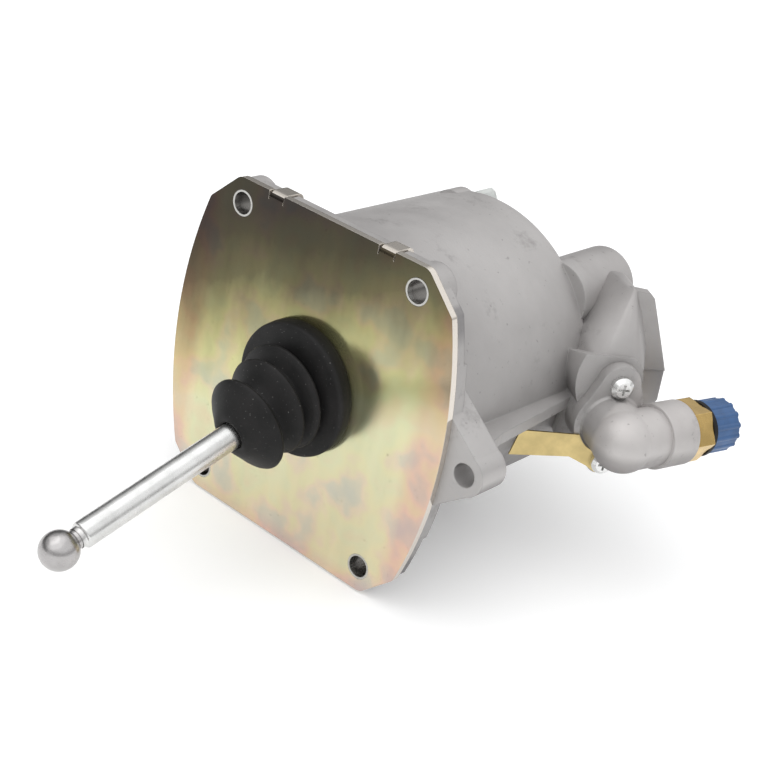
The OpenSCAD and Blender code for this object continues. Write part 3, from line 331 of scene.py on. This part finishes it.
def black_rubber():
    material, tree, shader = new_material("black_rubber")
    tone = ramp(tree, noise(tree, 60, 4, 0.65), [(0.35, (0.007, 0.007, 0.007)), (0.7, (0.016, 0.015, 0.015))])
    dust = ramp(tree, noise(tree, 1500, 2, 0.5), [(0.70, (0, 0, 0)), (0.78, (0.20, 0.20, 0.19))])
    tree.links.new(mix(tree, 1.0, tone, dust, "ADD"), shader.inputs["Base Color"])
    shader.inputs["Roughness"].default_value = 0.55
    shader.inputs["Specular IOR Level"].default_value = 0.22
    surface(tree, shader, noise(tree, 700, 4, 0.6), 0.2, 0.0002)
    return material


def milky_plastic():
    material, tree, shader = new_material("milky_plastic")
    shader.inputs["Base Color"].default_value = (0.72, 0.74, 0.72, 1)
    shader.inputs["Roughness"].default_value = 0.35
    shader.inputs["Transmission Weight"].default_value = 0.35
    return material


MATERIALS = {
    "cast_aluminium": cast_aluminium(),
    "turned_aluminium": plain_metal("turned_aluminium", (0.70, 0.70, 0.71), 0.3),
    "yellow_zinc": yellow_zinc(),
    "bright_zinc": bright_zinc(),
    "ground_steel": plain_metal("ground_steel", (0.62, 0.63, 0.65), 0.16),
    "spring_steel": plain_metal("spring_steel", (0.30, 0.30, 0.31), 0.35),
    "black_rubber": black_rubber(),
    "brass": plain_metal("brass", (0.70, 0.49, 0.19), 0.24, wear=0.2),
    "cream_plastic": plain_plastic("cream_plastic", (0.72, 0.68, 0.54), 0.5),
    "black_plastic": plain_plastic("black_plastic", (0.02, 0.02, 0.022), 0.45),
    "blue_plastic": plain_plastic("blue_plastic", (0.035, 0.105, 0.26), 0.42, 0.25),
    "milky_plastic": milky_plastic(),
    "yellow_strip": plain_metal("yellow_strip", (0.62, 0.49, 0.23), 0.36, edge=0.0001, wear=0.2),
}


def dress_nodes():
    for part in frame["record"]["subparts"]:
        data = nodes[part["node"]].data
        data.materials.clear()
        data.materials.append(MATERIALS[part["material_slot"]])


def new_piece(name, mesh, slot):
    mesh.materials.append(MATERIALS[slot])
    for polygon in mesh.polygons:
        polygon.use_smooth = True
    made = bpy.data.objects.new(name, mesh)
    bpy.context.scene.collection.objects.link(made)
    return made


def turns(sides):
    """Angles of the points of a ring."""
    return np.linspace(0, 2 * math.pi, sides, endpoint=False)


def new_skin(name, rings, slot):
    """Smooth skin over rings that have the same number of points."""
    sides = len(rings[0])
    faces = []
    for i in range(len(rings) - 1):
        for k in range(sides):
            n = (k + 1) % sides
            a, b = i * sides, (i + 1) * sides
            faces.append((a + k, a + n, b + n, b + k))
    mesh = bpy.data.meshes.new(name)
    mesh.from_pydata([point for ring in rings for point in ring], [], faces)
    mesh.validate()
    return new_piece(name, mesh, slot)


# Boot


# Outer profile of the boot: distance from the plate and radius, in mm. The
# foot ends in the first valley, where the folds start.
BOOT_FOOT = [
    (0.0, 25.2), (0.8, 26.0), (1.6, 26.3), (4.6, 26.3), (5.5, 26.0), (5.9, 25.3), (6.0, 24.0),
    (6.15, 22.2), (6.3, 21.0), (6.5, 20.0), (7.1, 16.0), (7.4, 14.8), (7.8, 14.4), (8.2, 14.8)]
BOOT_FOLDS = [
    (8.2, 14.8), (9.0, 17.0), (9.6, 19.2), (10.0, 20.1), (10.6, 20.4), (11.2, 20.0), (12.0, 18.0),
    (13.2, 15.2), (14.2, 13.8), (14.8, 14.0), (15.4, 15.6), (15.9, 17.6), (16.3, 18.5), (16.9, 18.8),
    (17.6, 18.4), (18.8, 16.6), (20.6, 14.0), (22.2, 12.4), (23.2, 12.2), (24.0, 13.4), (24.8, 15.8),
    (25.4, 17.8), (25.9, 18.3), (26.5, 18.4), (27.2, 17.9), (28.6, 16.2), (30.4, 13.6), (32.2, 11.2),
    (33.4, 9.6), (34.1, 8.4), (34.5, 7.2), (34.5, 6.2), (34.2, 5.5), (33.6, 5.2), (31.6, 5.2)]
BOOT_SIDES = 96
# From here on the boot hangs as far as the rod, in metres
BOOT_FULL_Y = 0.0265


def boot_hang(y):
    """Share of the rod's lean that the boot has at a distance from the plate."""
    return min(1.0, y / BOOT_FULL_Y)


def boot_part(name, profile):
    """Skin of revolution about the boot's bent middle line."""
    rings = []
    for distance, radius in profile:
        y = distance * MM
        lean = DROOP * boot_hang(y)
        centre = Vector((0, -y, -(y + SWIVEL_Y) * math.tan(DROOP) * boot_hang(y)))
        up = Vector((0, -math.sin(lean), math.cos(lean)))
        rings.append([centre + radius * MM * (math.cos(a) * Vector((1, 0, 0)) + math.sin(a) * up)
                      for a in turns(BOOT_SIDES)])
    return new_skin(name, rings, "black_rubber")


def make_boot():
    foot = boot_part("boot_foot", BOOT_FOOT)
    folds = boot_part("boot_folds_and_mouth", BOOT_FOLDS)
    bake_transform(foot)
    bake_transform(folds)
    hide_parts("rubber_boot")


# Full-width end of the push rod, close behind its ball


# Distance from the swivel and radius, in mm
SHANK = [
    (99.5, 4.99), (99.6, 5.015), (99.8, 5.015), (110.3, 5.015), (110.5, 5.01), (110.9, 4.85),
    (111.2, 4.5), (111.35, 4.1), (111.5, 3.95), (113.0, 3.8)]
SHANK_SIDES = 72


def rod_point(distance, radius, angle):
    """A point round the hanging rod's axis, from its swivel, in mm."""
    axis = Vector((0, -math.cos(DROOP), -math.sin(DROOP)))
    over = Vector((0, -math.sin(DROOP), math.cos(DROOP)))
    centre = Vector((0, SWIVEL_Y, 0)) + distance * MM * axis
    return centre + radius * MM * (math.cos(angle) * Vector((1, 0, 0)) + math.sin(angle) * over)


def make_rod_shank():
    rings = [[rod_point(distance, radius, a) for a in turns(SHANK_SIDES)] for distance, radius in SHANK]
    shank = new_skin("rod_shank", rings, "bright_zinc")
    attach(shank, "push_rod")


# Rounded casting between the valve boss, the column, the pad and the slab


# The pad's frame: where it starts, which way it turns, and places in it, in mm:
# along the pad, up, and out of its face
PAD_PLACE = (81.8, 93.0, -2.5)
PAD_TURN = math.radians(37)
COLUMN_TOP = (7.0, 38.0, -50.0)
COLUMN_FOOT = (1.6, 19.0, -15.0)
COLUMN_R = 8.75
COLUMN_FOOT_R = 8.3
# Seams that the blend covers: with the slab, and with the cylinder's rear wall
SLAB_SEAM = [(6.6, 46.6, -24.3), (12.4, 34.6, -24.3), (16.9, 23.0, -24.3), (19.0, 14.0, -24.3)]
WALL_SEAM = [(-9.0, 33.0, -46.0), (-12.0, 18.0, -34.0), (-8.0, 12.0, -24.0)]
SEAM_R = 1.0
COLUMN_SIDES = 96
SEAM_SIDES = 16
# Rim of the pad round the elbow's upper ear
EAR_RIM = (0.0, 16.5, -6.4)
EAR_RIM_R = 10.6
EAR_RIM_TURN = (math.radians(10), math.radians(170))
EAR_RIM_POINTS = 48
# The blend stops here, between the valve's bore and the skin of its boss, in metres
COLUMN_CUT_X = 0.0476
# Gusset under the pad, towards the cylinder
GUSSET = [
    (-9.0, -4.0, -8.0), (-15.0, 2.0, -11.0), (-14.4, -13.6, -16.0), (-9.0, -11.0, -11.0),
    (-12.0, -14.0, -32.0), (-14.0, 4.0, -36.0), (-4.0, -12.0, -30.0)]


def pad_point(place):
    along, up, out = place
    return Vector((PAD_PLACE[0] + along * math.sin(PAD_TURN) + out * math.cos(PAD_TURN),
                   PAD_PLACE[1] + along * math.cos(PAD_TURN) - out * math.sin(PAD_TURN),
                   PAD_PLACE[2] + up)) * MM


def ring_round(centre, direction, radius, sides):
    across = direction.cross(Vector((0, 0, 1))).normalized()
    over = across.cross(direction)
    return [centre + radius * MM * (math.cos(a) * across + math.sin(a) * over) for a in turns(sides)]


def rings_at(places, direction):
    """Small rings at places on the pad, so that the hull over them is rounded."""
    return [point for place in places for point in ring_round(pad_point(place), direction, SEAM_R, SEAM_SIDES)]


def ear_rim_point(angle):
    along, up, out = EAR_RIM
    return pad_point((along + EAR_RIM_R * math.cos(angle), up + EAR_RIM_R * math.sin(angle), out))


def make_hull(name, points, cut_x=None):
    """Convex hull of the points, without the part below cut_x where that is given."""
    work = bmesh.new()
    for point in points:
        work.verts.new(point)
    made = bmesh.ops.convex_hull(work, input=work.verts[:])
    inside = list(set(made["geom_interior"] + made["geom_unused"]))
    bmesh.ops.delete(work, geom=inside, context="VERTS")
    if cut_x is not None:
        everything = work.verts[:] + work.edges[:] + work.faces[:]
        bmesh.ops.bisect_plane(
            work, geom=everything, plane_co=(cut_x, 0, 0), plane_no=(1, 0, 0), clear_inner=True)
        bmesh.ops.holes_fill(work, edges=[edge for edge in work.edges if edge.is_boundary])
    mesh = bpy.data.meshes.new(name)
    work.to_mesh(mesh)
    work.free()
    hull = new_piece(name, mesh, "cast_aluminium")
    # The cut stays flat, so that it doesn't turn the shading beside it
    for polygon in mesh.polygons:
        polygon.use_smooth = cut_x is None or polygon.normal.x > -0.999
    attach(hull, "servo_body")


def make_casting_blends():
    top, foot = pad_point(COLUMN_TOP), pad_point(COLUMN_FOOT)
    direction = (foot - top).normalized()
    points = ring_round(top, direction, COLUMN_R, COLUMN_SIDES)
    points += ring_round(foot, direction, COLUMN_FOOT_R, COLUMN_SIDES)
    points += rings_at(SLAB_SEAM + WALL_SEAM, direction)
    points += [ear_rim_point(angle) for angle in np.linspace(*EAR_RIM_TURN, EAR_RIM_POINTS)]
    make_hull("column_blend", points, COLUMN_CUT_X)
    outward = (pad_point((0, 0, 1)) - pad_point((0, 0, 0))).normalized()
    make_hull("pad_gusset", rings_at(GUSSET, outward))


# Camera, floor and light


# Lengths in metres, light in Blender's units
FLOOR_HALF = 8.0
FLOOR_GAP = 0.001
FLOOR_WHITE = 0.87
FLOOR_GLOW = 0.22
ROOM_STRENGTH = 1.15
SUN_DIRECTION = (0.30, 0.35, -1.0)
SUN_STRENGTH = 0.75
SUN_SPREAD = math.radians(100)
KEY_PLACE = (-0.6, -0.5, 1.4)
KEY_TARGET = (0.02, 0.03, 0.0)
KEY_SIZE = 1.4
KEY_POWER = 4


def make_camera():
    look = Vector(CAMERA_LOOK).normalized()
    level = look.cross(Vector((0, 0, 1))).normalized()
    upright = level.cross(look)
    roll = math.radians(CAMERA_ROLL)
    right = level * math.cos(roll) + upright * math.sin(roll)
    up = right.cross(look)
    data = bpy.data.cameras.new("camera")
    data.sensor_width = SENSOR
    data.lens = CAMERA_LENS
    camera = bpy.data.objects.new("camera", data)
    camera.matrix_world = Matrix((
        (right.x, up.x, -look.x, CAMERA_PLACE[0]),
        (right.y, up.y, -look.y, CAMERA_PLACE[1]),
        (right.z, up.z, -look.z, CAMERA_PLACE[2]),
        (0, 0, 0, 1)))
    bpy.context.scene.collection.objects.link(camera)
    bpy.context.scene.camera = camera


def make_floor(height):
    half = FLOOR_HALF
    corners = [(-half, -half, height), (half, -half, height), (half, half, height), (-half, half, height)]
    mesh = bpy.data.meshes.new("floor")
    mesh.from_pydata(corners, [], [(0, 1, 2, 3)])
    material, _, shader = new_material("floor_paper")
    shader.inputs["Base Color"].default_value = (FLOOR_WHITE, FLOOR_WHITE, FLOOR_WHITE, 1)
    shader.inputs["Roughness"].default_value = 0.9
    shader.inputs["Emission Color"].default_value = (1, 1, 1, 1)
    shader.inputs["Emission Strength"].default_value = FLOOR_GLOW
    mesh.materials.append(material)
    floor = bpy.data.objects.new("floor", mesh)
    bpy.context.scene.collection.objects.link(floor)


def place_light(data, direction, place=(0, 0, 0)):
    light = bpy.data.objects.new(data.name, data)
    light.location = place
    light.rotation_mode = "QUATERNION"
    light.rotation_quaternion = Vector(direction).to_track_quat("-Z", "Y")
    bpy.context.scene.collection.objects.link(light)


def make_key_light():
    data = bpy.data.lights.new("key_light", "AREA")
    data.shape = "RECTANGLE"
    data.size, data.size_y = KEY_SIZE, KEY_SIZE
    data.energy = KEY_POWER
    place_light(data, Vector(KEY_TARGET) - Vector(KEY_PLACE), KEY_PLACE)


def make_sun():
    data = bpy.data.lights.new("soft_sun", "SUN")
    data.energy = SUN_STRENGTH
    data.angle = SUN_SPREAD
    place_light(data, SUN_DIRECTION)


def make_room():
    """Darker near the horizon and on the left, so round metal gets darker sides."""
    world = bpy.data.worlds.new("studio")
    world.use_nodes = True
    tree = world.node_tree
    back = tree.nodes["Background"]
    rise = ramp(tree, object_axis(tree, "Generated", "Z"), [
        (0.0, (0.80, 0.80, 0.80)), (0.10, (0.40, 0.40, 0.40)), (0.26, (0.55, 0.55, 0.55)),
        (0.5, (0.99, 0.995, 1.0))])
    left = ramp(tree, spread(tree, object_axis(tree, "Generated", "X"), -1.0, 1.0), [
        (0.18, (0.22, 0.22, 0.22)), (0.42, (1, 1, 1))])
    tree.links.new(mix(tree, 1.0, rise, left, "MULTIPLY"), back.inputs["Color"])
    back.inputs["Strength"].default_value = ROOM_STRENGTH
    bpy.context.scene.world = world


def make_studio(floor_height):
    make_camera()
    make_floor(floor_height)
    make_room()
    make_sun()
    make_key_light()
    # Keeps the white background white
    bpy.context.scene.view_settings.view_transform = "Standard"


dress_nodes()
make_boot()
make_rod_shank()
make_casting_blends()
make_studio(cad_box[0].z - FLOOR_GAP)
